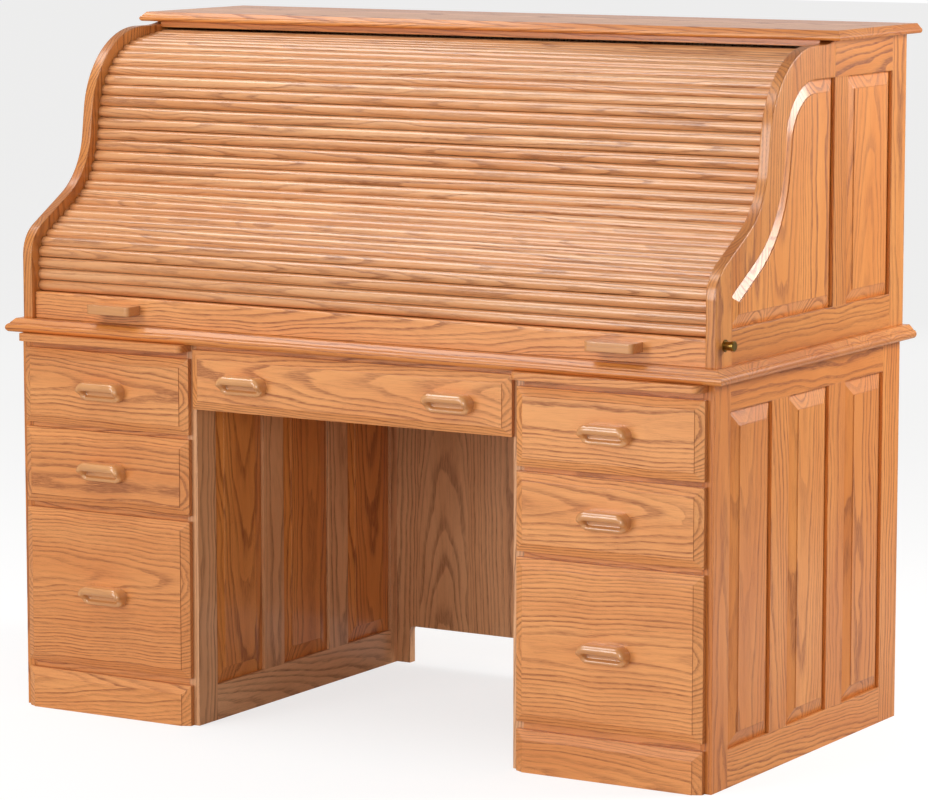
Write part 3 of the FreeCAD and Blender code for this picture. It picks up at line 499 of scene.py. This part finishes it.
# %% Canvas
def make_canvas():
    material, tree = new_material("cotton_canvas")
    grain = add(tree, "Attribute", {"attribute_name": "grain"}).outputs["Vector"]
    threads = {"Vector": grain, "Scale": 0.26, "Distortion": 0.4}
    warp = add(tree, "TexWave", {"bands_direction": "X"}, **threads).outputs["Fac"]
    weft = add(tree, "TexWave", {"bands_direction": "Y"}, **threads).outputs["Fac"]
    weave = add(tree, "Math", {"operation": "MULTIPLY"}, _0=warp, _1=weft).outputs[0]
    ends = {"_6": linear("#8A7556"), "_7": linear("#C9B48D")}
    colour = add(tree, "Mix", {"data_type": "RGBA"}, _0=weave, **ends).outputs[2]
    bump = add(tree, "Bump", Strength=0.5, Distance=0.0004, Height=weave).outputs[0]
    bsdf = add(tree, "BsdfPrincipled", Base_Color=colour, Roughness=0.9, Sheen_Weight=0.15, Normal=bump)
    add(tree, "OutputMaterial", Surface=bsdf.outputs[0])
    return material


canvas = make_canvas()
CLOTH_SIDE = 0.02  # m, canvas stops short of the slats' ends
CLOTH_OFF = 0.0005  # m, from the wood
BACK_SHARE = 0.8  # a back is at least this share of the longest side
INSIDE = Vector((0.0, 0.047, 0.868))  # a point well inside the curtain's sweep


def up_the_curtain(y, z):
    """A measure that grows along the curtain from the lift bar to its rear end."""
    return y * 0.6 + z


def slat_backs(mesh):
    """Each slat's back as two points at the slat's end, in order up the curtain, and the end's place on X."""
    x_low = min(v.co.x for v in mesh.vertices)
    sides = {}
    for polygon in mesh.polygons:
        ring = [mesh.vertices[i].co for i in polygon.vertices]
        if max(p.x for p in ring) < x_low + 0.0001:
            ring = [(round(p.y, 5), round(p.z, 5)) for p in ring]
            for pair in zip(ring, ring[1:] + ring[:1]):
                pair = tuple(sorted(pair))
                sides[pair] = sides.get(pair, 0) + 1
    # a side that only one polygon has is part of the outline
    outline = [pair for pair, count in sides.items() if count == 1]
    longest = max(math.dist(*pair) for pair in outline)
    backs = []
    for first, second in sorted(outline, key=lambda pair: up_the_curtain(*pair[0])):
        if math.dist(first, second) < BACK_SHARE * longest:
            continue
        ends = sorted((Vector((0, *first)), Vector((0, *second))), key=lambda p: up_the_curtain(p.y, p.z))
        along = (ends[1] - ends[0]).normalized()
        out = Vector((0, -along.z, along.y))
        if out.dot(ends[0] - INSIDE) < 0:
            out = -out
        backs.append([p - out * CLOTH_OFF for p in ends])
    return backs, x_low


bodies = frame["record"]["behaviour"]["bodies"]
for name in sorted(n for n in nodes if n.startswith("tambour_slats")):
    line, x_low = slat_backs(nodes[name].data)
    path = [p for ends in line for p in ends]
    half = -x_low - CLOTH_SIDE
    points = [(side * half, p.y, p.z) for p in path for side in (-1, 1)]
    faces = [(2 * i, 2 * i + 1, 2 * i + 3, 2 * i + 2) for i in range(len(path) - 1)]
    cloth_mesh = bpy.data.meshes.new("canvas_" + name[-2:])
    cloth_mesh.from_pydata(points, [], faces)
    cloth = bpy.data.objects.new("canvas_" + name[-2:], cloth_mesh)
    bpy.context.scene.collection.objects.link(cloth)
    run = [0.0]
    for a, b in zip(path, path[1:]):
        run.append(run[-1] + (b - a).length)
    weave_places = [(side * half * MM, s * MM, 0.0) for s in run for side in (-1, 1)]
    write_attribute(cloth_mesh, "grain", weave_places)
    cloth_mesh.materials.append(canvas)
    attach(cloth, next(body for body in bodies if name in bodies[body]))
print("canvas strips laid")

# %% [markdown]
# ## Floor, light and camera
#
# The desk stands on a white floor that runs out to a white surround. The camera sees that white directly,
# while the light that reaches the wood comes from softboxes and a plain, even world, so the white doesn't
# wash the oak out. The key light stands far off to the left, low and tall, so the right-hand bevels of the
# drawer fronts fall into shade and their left-hand ones don't. A weak one on the right opens the kneehole.
# One behind on the right lights the side and draws the bright line down the curved panel, one overhead
# gives the slats their sheen, and a faint card behind is what the top mirrors at a low angle.

# %% Floor
FAR = 30.0  # m, half the floor's side
WHITE = (1, 1, 1, 1)
FLOOR_GLOW = 0.72  # what the camera sees of the floor: its own glow, and a grey that shadows fall on
FLOOR_GREY = (0.35, 0.35, 0.35, 1)
FLOOR_BOUNCE = (0.65, 0.63, 0.61, 1)  # what the wood gets light from


def make_floor():
    material, tree = new_material("white_floor")
    shadowed = add(tree, "BsdfDiffuse", Color=FLOOR_GREY).outputs[0]
    glow = add(tree, "Emission", Color=WHITE, Strength=FLOOR_GLOW).outputs[0]
    white = add(tree, "AddShader", _0=shadowed, _1=glow).outputs[0]
    plain = add(tree, "BsdfDiffuse", Color=FLOOR_BOUNCE).outputs[0]
    surface = add(tree, "MixShader", Fac=seen_directly(tree), _1=plain, _2=white).outputs[0]
    add(tree, "OutputMaterial", Surface=surface)
    return material


floor_mesh = bpy.data.meshes.new("floor")
floor_mesh.from_pydata([(-FAR, -FAR, 0), (FAR, -FAR, 0), (FAR, FAR, 0), (-FAR, FAR, 0)], [], [(0, 1, 2, 3)])
floor = bpy.data.objects.new("floor", floor_mesh)
bpy.context.scene.collection.objects.link(floor)
floor_mesh.materials.append(make_floor())

# %% World and lamps
EVEN_LIGHT, EVEN_COLOUR = 0.37, (1.0, 0.98, 0.96, 1)
world = bpy.data.worlds.new("studio")
bpy.context.scene.world = world
world.use_nodes = True
tree = world.node_tree
tree.nodes.clear()
even = add(tree, "Background", Color=EVEN_COLOUR, Strength=EVEN_LIGHT).outputs[0]
bright = add(tree, "Background", Color=WHITE, Strength=1.0).outputs[0]
mixed = add(tree, "MixShader", Fac=seen_directly(tree), _1=even, _2=bright).outputs[0]
add(tree, "OutputWorld", Surface=mixed)


def softbox(name, place, target, size, watts):
    """A rectangular lamp at a place in metres, turned to face a target. size is its width and height."""
    lamp = bpy.data.lights.new(name, "AREA")
    lamp.shape = "RECTANGLE"
    lamp.size, lamp.size_y = size
    lamp.energy = watts
    obj = bpy.data.objects.new(name, lamp)
    obj.location = place
    obj.rotation_euler = (Vector(target) - Vector(place)).to_track_quat("-Z", "Y").to_euler()
    obj.visible_camera = False
    bpy.context.scene.collection.objects.link(obj)
    print("lamp", name, watts, "W")


softbox("front_left", (-3.0, -8.4, 2.6), (0.2, 0, 0.7), (2.6, 4.4), 260)
softbox("front_right", (2.4, -4.6, 1.7), (0.0, 0, 0.5), (1.6, 1.6), 48)
softbox("right_rear", (2.3, 1.2, 1.7), (0.76, 0.2, 1.05), (1.2, 0.9), 48)
softbox("overhead_left", (-1.5, -1.0, 3.5), (0, -0.2, 1.0), (2.4, 1.2), 47)
softbox("card_back_left", (-2.8, 5.4, 1.7), (0, 0, 1.2), (4.0, 1.8), 12)

# %% Camera
# a long lens at standing eye height, six and a half metres in front and nearly four to the right
lens = bpy.data.cameras.new("camera")
lens.lens, lens.sensor_width = 158.05, 36.0
lens.shift_x, lens.shift_y = 0.0015, 0.0003
camera = bpy.data.objects.new("camera", lens)
camera.location = (3.9181, -6.5085, 1.6559)
camera.rotation_euler = (math.radians(82.054), 0.0, math.radians(30.94))
bpy.context.scene.collection.objects.link(camera)
bpy.context.scene.camera = camera
bpy.context.scene.view_settings.view_transform = "Standard"
